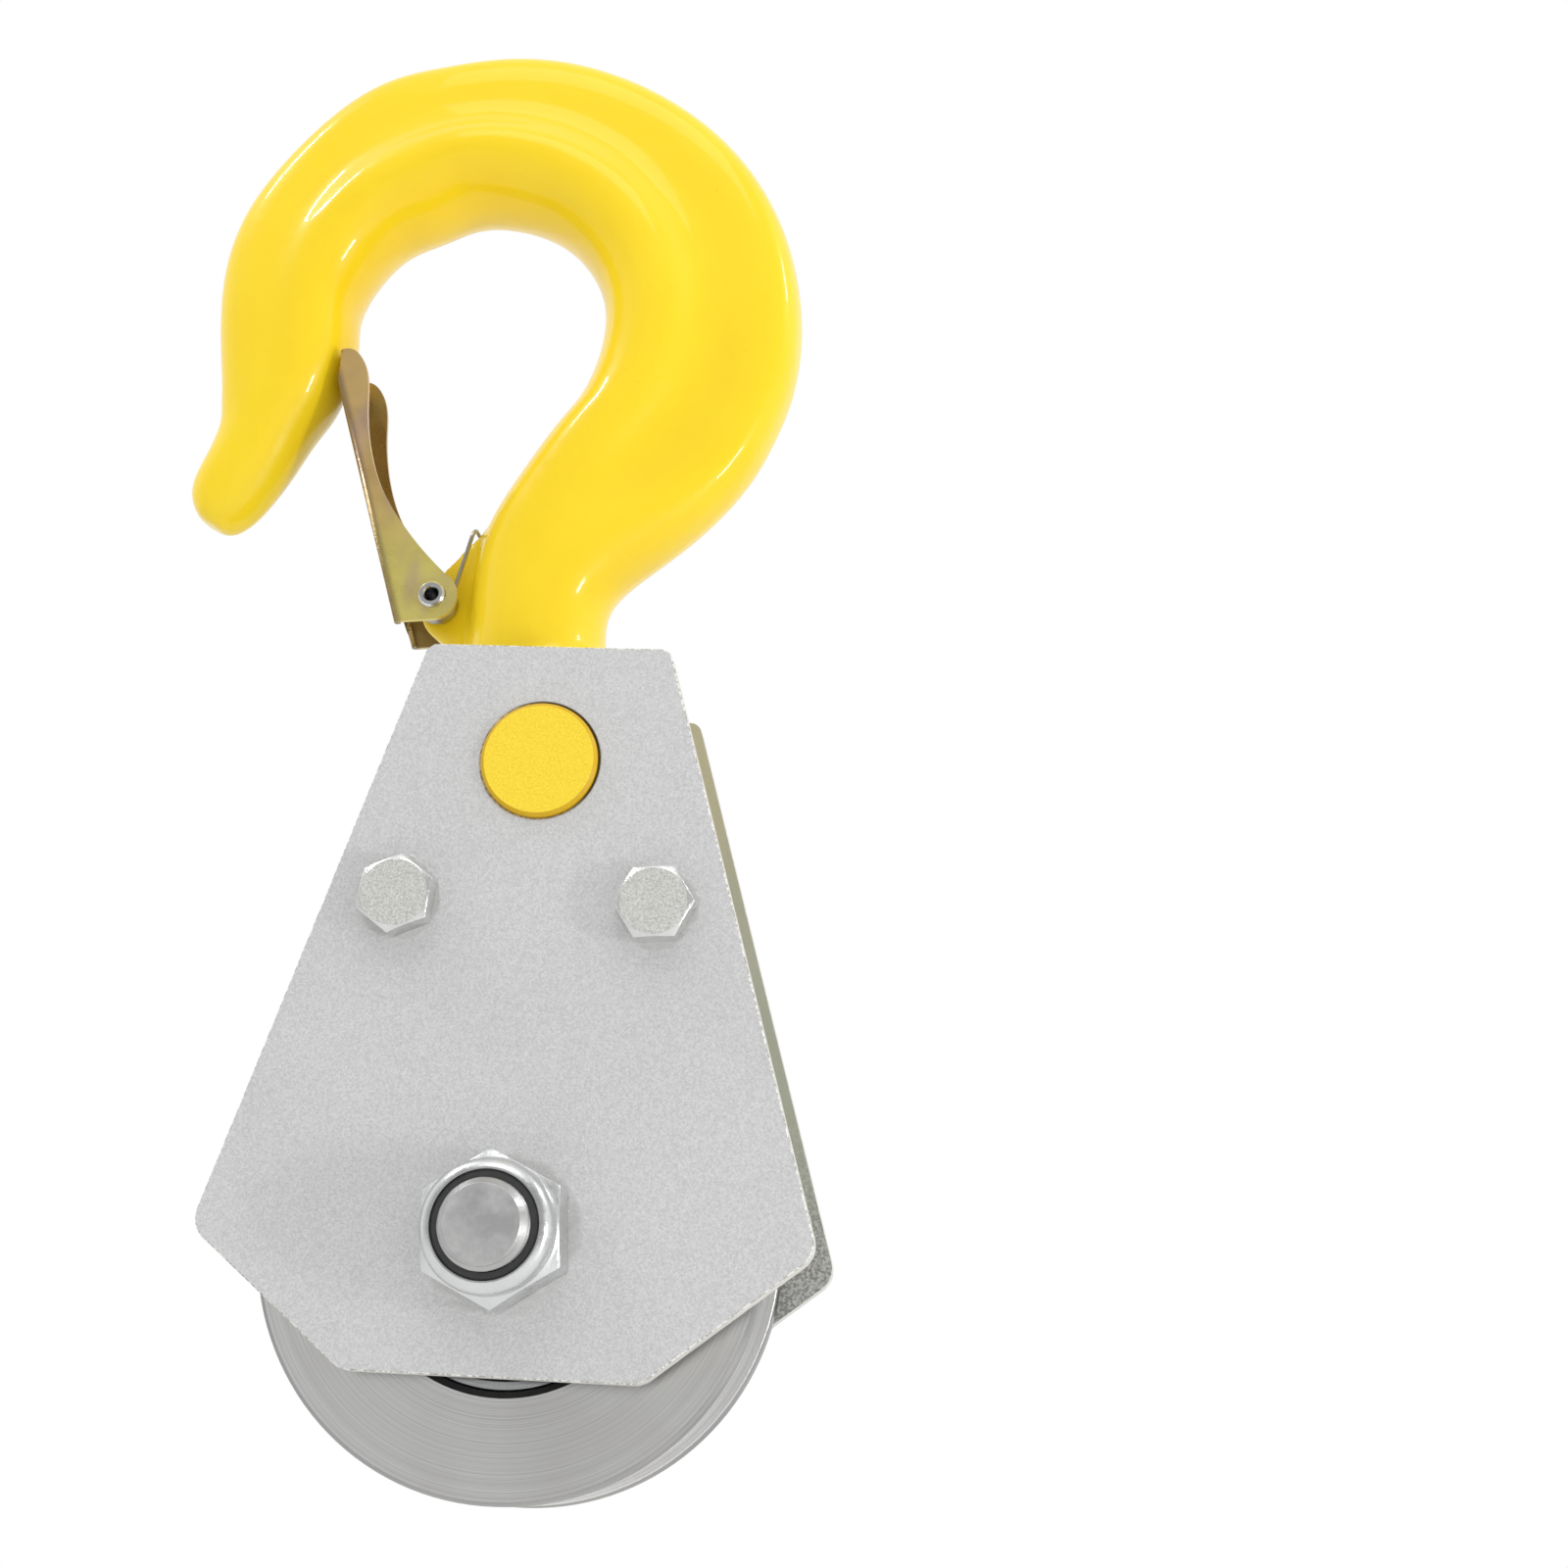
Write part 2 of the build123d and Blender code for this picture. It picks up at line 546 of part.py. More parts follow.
# Bearings, seals and covers
pitch = (bearing_outer + bearing_bore) / 2
track = ball_radius + 0.05
turned("bearing_distance_ring",
       [(bearing_bore, bearing_width - bearing_face),
        (bearing_bore + race_ring, bearing_width - bearing_face),
        (bearing_bore + race_ring, bearing_face - bearing_width),
        (bearing_bore, bearing_face - bearing_width)])
for name, side in (("front", -1), ("rear", 1)):
    near = side * (bearing_face - bearing_width)
    far = side * bearing_face
    middle = (near + far) / 2
    for ring, seat, shoulder in (("outer", bearing_outer, bearing_outer - race_ring),
                                 ("inner", bearing_bore, bearing_bore + race_ring)):
        spread = sqrt(track ** 2 - (shoulder - pitch) ** 2)
        deepest = pitch + track if ring == "outer" else pitch - track
        with BuildPart() as race:
            with BuildSketch(axle_turning):
                with BuildLine():
                    Polyline((shoulder, middle - side * spread), (shoulder, near), (seat, near),
                             (seat, far), (shoulder, far), (shoulder, middle + side * spread))
                    ThreePointArc((shoulder, middle + side * spread), (deepest, middle),
                                  (shoulder, middle - side * spread))
                make_face()
            revolve(axis=axle_line)
        finish(race.part, f"{name}_{ring}_race")
    with BuildPart() as balls:
        with Locations(Plane(origin=(axle.X, axle.Y + middle, axle.Z), x_dir=(1, 0, 0),
                             z_dir=(0, -1, 0)).location):
            with PolarLocations(pitch, ball_count):
                Sphere(ball_radius)
    finish(balls.part, f"{name}_balls")
    turned(f"{name}_seal_ring",
           [(cover_radius, far + side * 0.05), (recess_radius, far + side * 0.05),
            (recess_radius, far + side * (recess_depth - 0.4)),
            (cover_radius, far + side * (recess_depth - 0.8))])
    turned(f"{name}_dust_cover",
           [(bush_radius + 0.5, far + side * 0.05), (cover_radius, far + side * 0.05),
            (cover_radius, far + side * 1.3), (cover_radius - 0.5, far + side * 2.0),
            (cover_radius - 2.2, far + side * 2.0), (cover_radius - 3.4, far + side * 1.1),
            (bush_radius + 0.5, far + side * 1.1)])
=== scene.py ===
import json
import math
import bmesh
import bpy
import numpy as np
from mathutils import Matrix, Vector


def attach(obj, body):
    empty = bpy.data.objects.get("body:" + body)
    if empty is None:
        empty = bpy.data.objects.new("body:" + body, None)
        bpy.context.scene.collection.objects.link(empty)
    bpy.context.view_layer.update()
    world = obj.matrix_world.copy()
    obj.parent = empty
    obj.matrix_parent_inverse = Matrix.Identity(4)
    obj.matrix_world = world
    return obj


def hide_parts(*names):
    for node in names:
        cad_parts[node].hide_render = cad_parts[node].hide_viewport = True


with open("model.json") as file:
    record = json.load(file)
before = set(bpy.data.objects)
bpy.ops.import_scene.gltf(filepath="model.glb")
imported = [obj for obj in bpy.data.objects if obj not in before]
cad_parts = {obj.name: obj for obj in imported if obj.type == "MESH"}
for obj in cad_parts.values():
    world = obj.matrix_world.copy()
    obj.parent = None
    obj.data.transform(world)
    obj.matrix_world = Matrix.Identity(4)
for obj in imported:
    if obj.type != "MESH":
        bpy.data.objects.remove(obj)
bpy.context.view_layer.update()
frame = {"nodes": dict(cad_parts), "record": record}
nodes = frame["nodes"]

MM = 0.001

# Places in the CAD, in metres. U runs across the leaning hook, W up its shank.
PIVOT = Vector((0.031171, 0.0, -0.122290))
AXLE = Vector((0.031171, -0.002, -0.229690))
LEAN = math.radians(14.3)
U = Vector((math.cos(LEAN), 0, math.sin(LEAN)))
W = Vector((-math.sin(LEAN), 0, math.cos(LEAN)))
RIVET = U * -0.0217 + W * -0.0713
SPINE_FOOT = RIVET + U * -0.0104 + W * -0.0046
SPINE_OUT = U * -0.9979 + W * -0.0641       # the way the latch's spine faces
BOLTS = [(AXLE.x + side * 0.0294, AXLE.z + 0.074) for side in (-1, 1)]
GAP_SHADE_RADIUS = 0.0144          # radius of the painted shade ring in the gap at a trunnion's hole
INNER_FACE = 0.0262         # a cheek plate's inner face lies just within this of AXLE

# Marks round the fasteners on the plates: centre, radius where each starts to fade and ends
HALOS = [(x, z, 0.0090, 0.0102) for x, z in BOLTS] + [(AXLE.x, AXLE.z, 0.0165, 0.0192)]

# Widths of the worn edges, in millimetres
EDGES = {"front_axle_nut": 0.35, "rear_axle_nut": 0.35, "crosshead": 0.6,
         "left_spacer_bar": 0.35, "right_spacer_bar": 0.35,
         "front_bolt_left": 0.3, "front_bolt_right": 0.3, "rear_bolt_left": 0.3,
         "rear_bolt_right": 0.3}

# Lamps: place and size in metres, power in watts
AIM = Vector((0.0, 0.0, -0.09))
LAMPS = {"upper_left": ((-0.95, -0.30, 1.05), (0.10, 0.28), 3.8),
         "upper_right": ((1.15, -0.15, 0.80), (0.08, 0.24), 2.2),
         "lower_right": ((1.15, -0.55, -0.30), (0.10, 0.25), 3.2),
         "key": ((0.1, -1.3, 1.9), (1.6, 1.0), 8.5)}
AMBIENT = 0.83
GLOSS_FRONT, GLOSS_BACK = 0.42, 1.0         # what shiny surfaces see, before and behind
FLOOR_HEIGHT = -0.60
FLOOR_HALF = 4
FLOOR_GREY = 0.86
FLOOR_GLOW = 0.55           # share of plain white that the camera sees in the floor

# Camera, fitted to the photo
CAMERA_PLACE = (0.14444, -0.5980, -0.28403)
CAMERA_RIGHT = Vector((0.9949, 0.0851, 0.0543))
CAMERA_AHEAD = Vector((-0.0966, 0.9585, 0.2683))
FOCAL_LENGTH = 59.69
SENSOR_WIDTH = 36


# Materials

class Net:
    """One procedural material; numbers for the shader are set on its own sockets."""

    def __init__(self, name, **shader):
        self.mat = bpy.data.materials.new(name)
        self.mat.use_nodes = True
        self.tree = self.mat.node_tree
        self.bsdf = self.tree.nodes["Principled BSDF"]
        for key, value in shader.items():
            self.bsdf.inputs[key.replace("_", " ")].default_value = value
        self.place = self.put("ShaderNodeTexCoord", {}, out="Object")
        # in the piece's own frame, so that the look stays put when it moves
        self.facing = self.put("ShaderNodeVectorTransform",
                               {"Vector": self.put("ShaderNodeNewGeometry", {},
                                                   out="True Normal")},
                               vector_type="NORMAL", convert_from="WORLD",
                               convert_to="OBJECT")
        self.height = None

    def put(self, kind, values, out=0, **settings):
        """Adds a node; values are sockets to link or numbers to set."""
        node = self.tree.nodes.new(kind)
        for key, value in settings.items():
            setattr(node, key, value)
        for key, value in values.items():
            if isinstance(value, bpy.types.NodeSocket):
                self.tree.links.new(value, node.inputs[key])
            else:
                node.inputs[key].default_value = value
        return node.outputs[out]

    def feed(self, **sockets):
        """Links sockets to the shader's inputs."""
        for key, socket in sockets.items():
            self.tree.links.new(socket, self.bsdf.inputs[key.replace("_", " ")])

    def math(self, operation, a, b=0.0):
        return self.put("ShaderNodeMath", {0: a, 1: b}, operation=operation)

    def times(self, a, b):
        return self.math("MULTIPLY", a, b)

    def size(self, a):
        return self.math("ABSOLUTE", a)

    def split(self, vector):
        node = self.tree.nodes.new("ShaderNodeSeparateXYZ")
        self.tree.links.new(vector, node.inputs[0])
        return node.outputs[0], node.outputs[1], node.outputs[2]

    def join(self, x, y, z):
        return self.put("ShaderNodeCombineXYZ", {0: x, 1: y, 2: z})

    def offset(self, point):
        return self.put("ShaderNodeVectorMath", {0: self.place, 1: tuple(point)},
                        operation="SUBTRACT")

    def along(self, axis, point=(0, 0, 0)):
        """Distance from point along an axis."""
        return self.put("ShaderNodeVectorMath", {0: self.offset(point), 1: tuple(axis)},
                        out="Value", operation="DOT_PRODUCT")

    def radius(self, point):
        """Distance from the line through point along Y."""
        x, y, z = self.split(self.offset(point))
        return self.put("ShaderNodeVectorMath", {0: self.join(x, 0.0, z)}, out="Value",
                        operation="LENGTH")

    def square(self, low, high):
        """1 on faces square to Y, 0 on those that run along it."""
        return self.ramp(self.size(self.split(self.facing)[1]), low, high)

    def stretched(self, x, y, z):
        return self.put("ShaderNodeVectorMath", {0: self.place, 1: (x, y, z)},
                        operation="MULTIPLY")

    def noise(self, size, detail=3.0, rough=0.5, vector=None, warp=0.0):
        """Noise from 0 to 1 with blobs about size metres wide."""
        return self.put("ShaderNodeTexNoise",
                        {"Vector": vector or self.place, "Scale": 1 / size,
                         "Detail": detail, "Roughness": rough, "Distortion": warp})

    def lines(self, value, per_metre, detail, rough):
        """Noise that changes along one value alone."""
        return self.noise(1.0, detail, rough,
                          self.join(self.times(value, per_metre), 0.0, 0.0))

    def cells(self, size):
        return self.put("ShaderNodeTexVoronoi", {"Vector": self.place, "Scale": 1 / size})

    def ramp(self, value, low, high, to_low=0.0, to_high=1.0, smooth=True):
        return self.put("ShaderNodeMapRange",
                        {0: value, 1: low, 2: high, 3: to_low, 4: to_high},
                        interpolation_type="SMOOTHSTEP" if smooth else "LINEAR")

    def mix(self, share, a, b, blend="MIX"):
        """Blends two colours; each is a socket or three numbers."""
        node = self.tree.nodes.new("ShaderNodeMix")
        node.data_type = "RGBA"
        node.blend_type = blend
        for key, value in ((0, share), (6, a), (7, b)):
            if isinstance(value, bpy.types.NodeSocket):
                self.tree.links.new(value, node.inputs[key])
            elif key:
                node.inputs[key].default_value = (*value, 1)
            else:
                node.inputs[key].default_value = value
        return node.outputs[2]

    def bump(self, height, distance, strength=1.0):
        """Adds relief; distance is the height of one unit, in metres."""
        values = {"Distance": distance, "Strength": strength, "Height": height}
        if self.height is not None:
            values["Normal"] = self.height
        self.height = self.put("ShaderNodeBump", values)
        self.feed(Normal=self.height)


def enamel():
    net = Net("yellow_enamel", Roughness=0.30, Coat_Weight=0.45, Coat_Roughness=0.05,
              Specular_IOR_Level=0.2)
    fleck = net.ramp(net.noise(0.0011, 2.0), 0.72, 0.80)
    base = net.mix(net.noise(0.030, 2.0), (0.95, 0.655, 0.010), (0.985, 0.735, 0.020))
    net.feed(Base_Color=net.mix(net.times(fleck, 0.25), base, (0.60, 0.36, 0.01)))
    net.bump(net.noise(0.011, 2.0), 0.00030)
    net.bump(net.noise(0.0035, 2.0), 0.00005)
    return net.mat


def cast_enamel():
    """The crosshead: pitted paint on its body, darkened as painted shade; grainier and
    lighter on the trunnions' ends, as painted light.
    """
    net = Net("cast_enamel", Specular_IOR_Level=0.3)
    face = net.square(0.9, 0.98)
    # painted shade: the body is a darker copy of the yellow paint
    body = net.mix(net.noise(0.009, 4.0, 0.6), (0.62, 0.36, 0.006), (0.74, 0.46, 0.012))
    pits = net.times(net.ramp(net.cells(0.0016), 0.06, 0.16, 1.0, 0.0),
                     net.ramp(net.noise(0.004, 2.0), 0.52, 0.62))
    body = net.mix(net.times(pits, 0.6), body, (0.16, 0.09, 0.01))
    # painted light: the trunnions' end faces are a lighter copy of the same yellow
    grain = net.ramp(net.noise(0.0005, 3.0, 0.7), 0.35, 0.65, smooth=False)
    grained_lit_disc = net.mix(grain, (0.86, 0.60, 0.02), (1.0, 0.76, 0.06))
    net.feed(Base_Color=net.mix(face, body, grained_lit_disc),
             Roughness=net.ramp(face, 0.0, 1.0, 0.34, 0.42))
    net.bump(net.noise(0.0045, 4.0, 0.6), 0.0005, 0.8)
    net.bump(net.noise(0.0007, 3.0, 0.6), 0.00007)
    return net.mat


def plate_steel():
    net = Net("plate_steel", Metallic=0.0, Specular_IOR_Level=0.4)
    ny = net.split(net.facing)[1]
    x, y, z = net.split(net.place)
    face = net.square(0.85, 0.97)
    cloud = net.noise(0.045, 3.0, 0.55)
    grit = net.noise(0.00045, 2.0, 0.7)
    # the outer faces, grained, with the plating disturbed round the fasteners
    flat = net.mix(cloud, (0.575, 0.577, 0.575), (0.645, 0.647, 0.647))
    grain = net.ramp(grit, 0.30, 0.70, smooth=False)
    flat = net.mix(1.0, flat, net.mix(grain, (0.84, 0.84, 0.84), (1.16, 1.16, 1.16)),
                   "MULTIPLY")
    halo = None
    for cx, cz, fade, end in HALOS:
        wave = net.noise(0.006, 3.0, 0.6)
        dist = net.math("ADD", net.radius((cx, 0, cz)),
                        net.ramp(wave, 0.3, 0.7, -0.0009, 0.0009, smooth=False))
        ring = net.ramp(dist, fade, end, 1.0, 0.0)
        halo = ring if halo is None else net.math("MAXIMUM", halo, ring)
    flat = net.mix(net.times(halo, 0.35), flat, (0.80, 0.79, 0.76))
    # the cut edges, with slanting strokes
    slant = net.join(net.times(x, 120.0), net.times(y, 120.0),
                     net.times(net.math("ADD", z, net.times(y, 0.7)), 1100.0))
    stroke = net.noise(1.0, 3.0, 0.6, slant)
    cut = net.mix(stroke, (0.50, 0.48, 0.42), (0.88, 0.87, 0.84))
    # the faces towards the sheave are smoother and keep a straw tint, specked low down
    inward = net.ramp(net.size(net.along((0, 1, 0), (0, AXLE.y, 0))),
                      INNER_FACE + 0.0006, INNER_FACE)
    straw = net.mix(cloud, (0.45, 0.46, 0.35), (0.56, 0.57, 0.46))
    low = net.ramp(z, AXLE.z + 0.045, AXLE.z - 0.005, 0.0, 0.9)
    speck = net.mix(net.ramp(net.noise(0.0007, 3.0, 0.75), 0.42, 0.58),
                    (0.22, 0.22, 0.215), (0.56, 0.56, 0.545))
    flat = net.mix(inward, flat, net.mix(low, straw, speck))
    # flecked burr between face and edge
    burr = net.ramp(net.size(net.math("SUBTRACT", net.size(ny), 0.72)), 0.10, 0.20,
                    1.0, 0.0)
    fleck = net.ramp(net.noise(0.0008, 2.0, 0.7), 0.42, 0.58)
    edge = net.mix(fleck, (0.30, 0.29, 0.26), (0.90, 0.89, 0.86))
    whole = net.mix(net.times(burr, 0.75), net.mix(face, cut, flat), edge)
    # painted shade in the edge of the trunnion hole, darkest on the side with the gap
    gap_shade = net.ramp(net.radius(PIVOT), GAP_SHADE_RADIUS - 0.0004, GAP_SHADE_RADIUS, 1.0, 0.0)
    side = net.ramp(net.along((0.86, 0, 0.51), PIVOT), -0.005, 0.009, 0.10, 0.95)
    smooth = net.math("MAXIMUM", halo, net.times(inward, 0.6))
    net.feed(Base_Color=net.mix(net.times(gap_shade, side), whole, (0.06, 0.045, 0.015)),
             Metallic=net.ramp(halo, 0.0, 1.0, 0.12, 0.50),
             Roughness=net.ramp(smooth, 0.0, 1.0, 0.55, 0.30))
    ruffle = net.times(net.times(halo, net.noise(0.0025, 3.0)), 4.0)
    net.bump(net.math("ADD", grit, ruffle), 0.00010, 0.8)
    net.bump(net.times(stroke, net.math("SUBTRACT", 1.0, face)), 0.00015)
    return net.mat


def zinc(name="zinc_steel", tint=(0.77, 0.78, 0.78), rough=0.24):
    net = Net(name, Metallic=1.0)
    cloud = net.noise(0.006, 4.0, 0.6)
    net.feed(Base_Color=net.mix(cloud, tuple(0.80 * c for c in tint), tint),
             Roughness=net.ramp(cloud, 0.3, 0.7, rough - 0.06, rough + 0.10))
    net.bump(cloud, 0.00018, 0.7)
    net.bump(net.noise(0.0008, 3.0, 0.6), 0.00004)
    return net.mat


def head_zinc():
    """Bolt heads: dull grained top, brighter bevels and flats."""
    net = Net("head_zinc")
    top = net.square(0.93, 0.99)
    cloud = net.noise(0.005, 4.0, 0.6)
    grit = net.noise(0.0005, 3.0, 0.7)
    dull = net.mix(net.ramp(grit, 0.34, 0.66, smooth=False), (0.44, 0.44, 0.41),
                   (0.76, 0.76, 0.73))
    bright = net.mix(cloud, (0.60, 0.60, 0.59), (0.82, 0.82, 0.81))
    net.feed(Base_Color=net.mix(top, bright, dull),
             Metallic=net.ramp(top, 0.0, 1.0, 0.9, 0.20),
             Roughness=net.ramp(top, 0.0, 1.0, 0.24, 0.50))
    net.bump(grit, 0.00006)
    net.bump(cloud, 0.00015, 0.6)
    return net.mat


def turned_steel():
    """The sheave and other turned pieces, with lathe marks round the axle."""
    net = Net("turned_steel", Metallic=1.0, Anisotropic=0.8,
              Specular_Tint=(0.55, 0.55, 0.55, 1))
    r = net.radius(AXLE)
    y = net.split(net.place)[1]
    flank = net.square(0.80, 0.95)
    grain = net.mix(flank, net.lines(y, 1500.0, 3.0, 0.6), net.lines(r, 2600.0, 3.0, 0.7))
    bands = net.lines(r, 320.0, 2.0, 0.5)
    cloud = net.noise(0.020, 2.0)
    tone = net.mix(net.ramp(grain, 0.35, 0.65), (0.62, 0.62, 0.615), (0.86, 0.86, 0.855))
    tone = net.mix(net.ramp(bands, 0.35, 0.7, 0.0, 0.35), tone, (0.88, 0.88, 0.87))
    # painted shade: the rim and the groove are darker than the flanks
    tone = net.mix(1.0, tone, net.mix(flank, (0.50, 0.50, 0.50), (1.0, 1.0, 1.0)),
                   "MULTIPLY")
    dx, dy, dz = net.split(net.offset(AXLE))
    round_axle = net.put("ShaderNodeVectorTransform",
                         {"Vector": net.join(net.times(dz, -1.0), 0.0, dx)},
                         vector_type="VECTOR", convert_from="OBJECT", convert_to="WORLD")
    net.feed(Base_Color=net.mix(net.ramp(cloud, 0.4, 0.7, 0.0, 0.15), tone,
                                (0.58, 0.54, 0.47)),
             Roughness=net.ramp(flank, 0.0, 1.0, 0.20, 0.36), Tangent=round_axle)
    net.bump(grain, 0.00003, 0.8)
    return net.mat


def dark_steel():
    """The axle and the shank nut: darker body, patchy ends."""
    net = Net("dark_steel")
    face = net.square(0.9, 0.98)
    grit = net.noise(0.0007, 3.0, 0.6)
    body = net.mix(net.noise(0.008, 4.0, 0.6), (0.30, 0.30, 0.30), (0.62, 0.62, 0.61))
    patch = net.ramp(net.noise(0.0090, 5.0, 0.62), 0.36, 0.64, smooth=False)
    end = net.mix(patch, (0.46, 0.46, 0.46), (0.68, 0.68, 0.675))
    net.feed(Base_Color=net.mix(face, body, end),
             Metallic=net.ramp(face, 0.0, 1.0, 1.0, 0.6),
             Roughness=net.ramp(grit, 0.3, 0.7, 0.28, 0.44))
    net.bump(grit, 0.00004)
    return net.mat


def black_rubber():
    net = Net("seal_black", Roughness=0.55, Specular_IOR_Level=0.35)
    net.feed(Base_Color=net.mix(net.noise(0.004, 3.0), (0.012, 0.012, 0.012),
                                (0.03, 0.03, 0.03)))
    net.bump(net.noise(0.0009, 3.0), 0.00004)
    return net.mat


def passivated():
    """Yellow chromate on the latch: green gold low down, mauve brown towards its head."""
    net = Net("latch_zinc", Metallic=0.75)
    ny = net.split(net.facing)[1]
    y = net.split(net.place)[1]
    cloud = net.noise(0.010, 3.0, 0.55, warp=0.6)
    film = net.noise(0.018, 2.0, 0.5, vector=net.stretched(1.4, 1.0, 0.4))
    low = net.mix(cloud, (0.78, 0.66, 0.17), (0.92, 0.80, 0.25))
    high = net.mix(cloud, (0.62, 0.42, 0.17), (0.78, 0.54, 0.22))
    tone = net.mix(net.ramp(net.along(W), -0.066, -0.036), low, high)
    tone = net.mix(net.ramp(film, 0.50, 0.64, 0.0, 0.6), tone, (0.54, 0.38, 0.36))
    tone = net.mix(net.ramp(film, 0.30, 0.42, 0.5, 0.0), tone, (0.50, 0.54, 0.26))
    # painted shade: darker along the fold and on the inside faces
    fold = net.along(SPINE_OUT, SPINE_FOOT)
    tone = net.mix(net.ramp(fold, -0.0026, -0.0006, 0.0, 0.75), tone, (0.20, 0.15, 0.11))
    inner_shade = net.ramp(net.times(y, ny), -0.006, -0.002, 1.0, 0.0)
    net.feed(Base_Color=net.mix(net.times(inner_shade, 0.75), tone, (0.40, 0.28, 0.07)),
             Roughness=net.ramp(cloud, 0.3, 0.7, 0.24, 0.38))
    net.bump(net.noise(0.0012, 3.0), 0.00005)
    return net.mat


def wire_steel():
    net = Net("spring_wire", Metallic=1.0, Roughness=0.30)
    net.feed(Base_Color=net.mix(net.noise(0.003, 3.0), (0.34, 0.33, 0.31),
                                (0.58, 0.57, 0.54)))
    net.bump(net.noise(0.0006, 2.0), 0.00002)
    return net.mat


def nylon():
    net = Net("nylon_ring", Roughness=0.5)
    net.feed(Base_Color=net.mix(net.noise(0.002, 2.0), (0.035, 0.035, 0.037),
                                (0.06, 0.06, 0.062)))
    net.bump(net.noise(0.0008, 2.0), 0.00003)
    return net.mat


def polished():
    net = Net("bearing_steel", Metallic=1.0)
    rings = net.lines(net.radius(AXLE), 1800.0, 2.0, 0.6)
    net.feed(Base_Color=net.mix(rings, (0.52, 0.53, 0.54), (0.70, 0.71, 0.72)),
             Roughness=net.ramp(net.noise(0.006, 2.0), 0.3, 0.7, 0.12, 0.24))
    net.bump(rings, 0.00001)
    return net.mat


MATS = {"yellow_enamel": enamel(), "cast_enamel": cast_enamel(),
        "plate_steel": plate_steel(), "zinc_steel": zinc(),
        "turned_steel": turned_steel(), "dark_steel": dark_steel(),
        "seal_black": black_rubber(), "latch_zinc": passivated(),
        "spring_wire": wire_steel(), "nylon_ring": nylon(), "bearing_steel": polished(),
        "head_zinc": head_zinc(),
        "bar_steel": zinc("bar_steel", (0.70, 0.70, 0.695), 0.22)}

looks = {row["node"]: row["material_slot"] for row in frame["record"]["subparts"]}
looks["crosshead"] = "cast_enamel"
looks["left_spacer_bar"] = looks["right_spacer_bar"] = "bar_steel"
for name in nodes:
    if "_bolt_" in name:
        looks[name] = "head_zinc"


def bevel_edges(obj, width, degrees):
    """Rounds the edges that turn by more than an angle; width in millimetres."""
    edge = obj.modifiers.new("edge", "BEVEL")
    edge.width = width * MM
    edge.segments = 2
    edge.limit_method = "ANGLE"
    edge.angle_limit = math.radians(degrees)


for name, obj in nodes.items():
    obj.data.materials.clear()
    obj.data.materials.append(MATS[looks[name]])
    if name in EDGES:
        obj.modifiers.new("weld", "WELD").merge_threshold = 1e-6
        bevel_edges(obj, EDGES[name], 25)


# Pieces with more detail than the solids

def new_mesh(name, verts, faces):
    mesh = bpy.data.meshes.new(name)
    mesh.from_pydata(verts, [], faces)
    mesh.validate()
    mesh.shade_smooth()
    return mesh


def new_piece(name, mesh, look):
    obj = bpy.data.objects.new(name, mesh)
    bpy.context.scene.collection.objects.link(obj)
    mesh.materials.append(MATS[look])
    return obj


def smoothed(points, edges, rounds):
    """Evens out ridges a few millimetres wide and keeps the volume."""
    inward, outward = 0.5, -0.526
    count = np.bincount(edges.ravel(), minlength=len(points))[:, None]
    for step in range(rounds):
        total = np.zeros_like(points)
        for here, there in ((0, 1), (1, 0)):
            for axis in range(3):
                total[:, axis] += np.bincount(edges[:, here],
                                              weights=points[edges[:, there], axis],
                                              minlength=len(points))
        points = points + (total / count - points) * (outward if step % 2 else inward)
    return points


def forged_hook():
    """The hook as one skin: its lug and its ridges run into the body as forged."""
    voxel, rounds = 1.1, 50
    skin = nodes["hook"].copy()
    bpy.context.scene.collection.objects.link(skin)
    skin.modifiers.new("weld", "WELD").merge_threshold = 1e-6
    cells = skin.modifiers.new("cells", "REMESH")
    cells.mode = "VOXEL"
    cells.voxel_size = voxel * MM
    seen = skin.evaluated_get(bpy.context.evaluated_depsgraph_get()).to_mesh()
    points = np.array([v.co for v in seen.vertices])
    edges = np.array([e.vertices for e in seen.edges])
    faces = [tuple(p.vertices) for p in seen.polygons]
    skin.to_mesh_clear()
    bpy.data.objects.remove(skin)
    mesh = new_mesh("forged_hook", smoothed(points, edges, rounds).tolist(), faces)
    obj = new_piece("forged_hook", mesh, "yellow_enamel")
    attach(obj, "hook_body")
    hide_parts("hook")


def stud():
    """The axle with its thread cut as a true helix where it shows; in millimetres."""
    radius, depth, pitch, crest = 10.0, 1.1, 2.5, 0.14
    end, chamfer, shown, run_in = 54.2, 1.7, 6.4, 1.0
    around, row_gap = 96, 0.16

    def height(y, turn):
        rest = ((abs(y) + turn * pitch) / pitch) % 1.0
        cut = max(0.0, min(rest, 1 - rest) * 2 - crest) / (1 - crest)
        fade = min(1.0, max(0.0, (abs(y) - (end - shown)) / run_in))
        return min(radius - depth * cut * fade, radius - chamfer + (end - abs(y)))

    steps = int(shown / row_gap)
    rows = [end - shown * k / steps for k in range(steps + 1)]
    rows = rows + [-y for y in reversed(rows)]
    verts, faces = [], []
    for y in rows:
        for k in range(around):
            angle = 2 * math.pi * k / around
            r = height(y, k / around if y > 0 else -k / around) * MM
            verts.append((AXLE.x + r * math.cos(angle), AXLE.y + y * MM,
                          AXLE.z + r * math.sin(angle)))
    for row in range(len(rows) - 1):
        for k in range(around):
            a, b = row * around + k, row * around + (k + 1) % around
            faces.append((a, b, b + around, a + around))
    last = (len(rows) - 1) * around
    faces.append(tuple(reversed(range(around))))
    faces.append(tuple(range(last, last + around)))
    mesh = new_mesh("stud", verts, faces)
    for poly in mesh.polygons:
        if len(poly.vertices) > 4:
            poly.use_smooth = False
    obj = new_piece("stud", mesh, "dark_steel")
    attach(obj, "cheek_body")
    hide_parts("axle")


